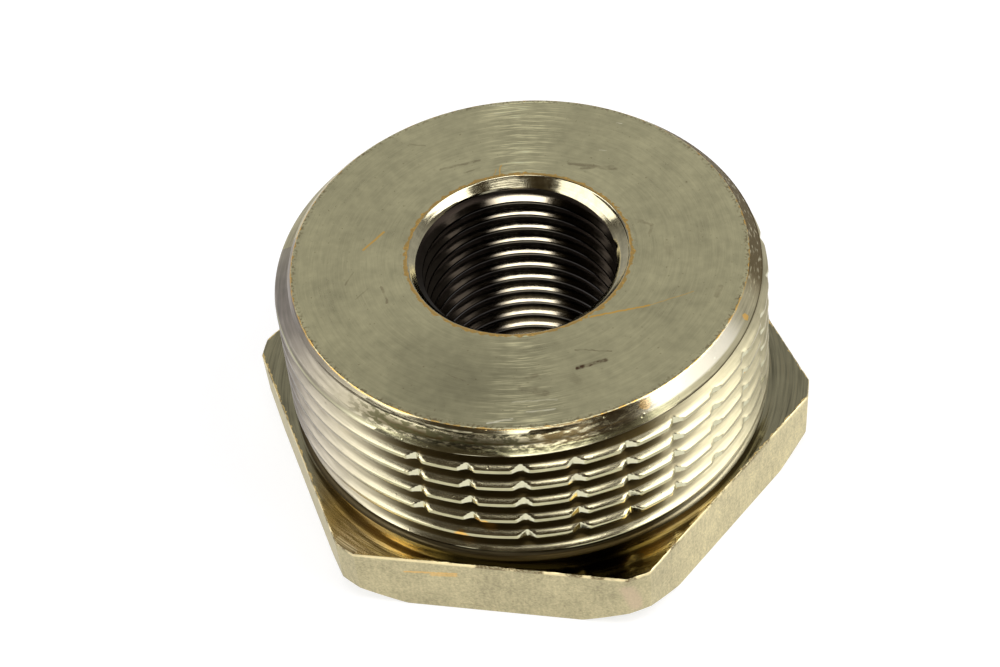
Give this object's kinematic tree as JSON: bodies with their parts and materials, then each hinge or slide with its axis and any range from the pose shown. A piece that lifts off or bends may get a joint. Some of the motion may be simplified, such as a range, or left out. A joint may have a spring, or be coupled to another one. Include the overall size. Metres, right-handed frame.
{
  "type": "hex reducing bushing",
  "caption": "One-piece turned reducing bushing: taper pipe thread outside, smaller pipe thread through the middle, and a low hexagon at one end to turn it by.",
  "frame": {"origin": "centre of the hexagon's end face, which the bushing stands on", "axes": "+Z along the axis towards the threaded end; two of the flats face -Y and +Y"},
  "size_m": [0.0558, 0.0494, 0.024],
  "materials": {
    "nickel_plated_brass": "satin nickel plate over turned brass, bright on the threads, with brass showing at worn edges"
  },
  "bodies": {
    "root": {"hex_bushing": "nickel_plated_brass"}
  },
  "joints": []
}
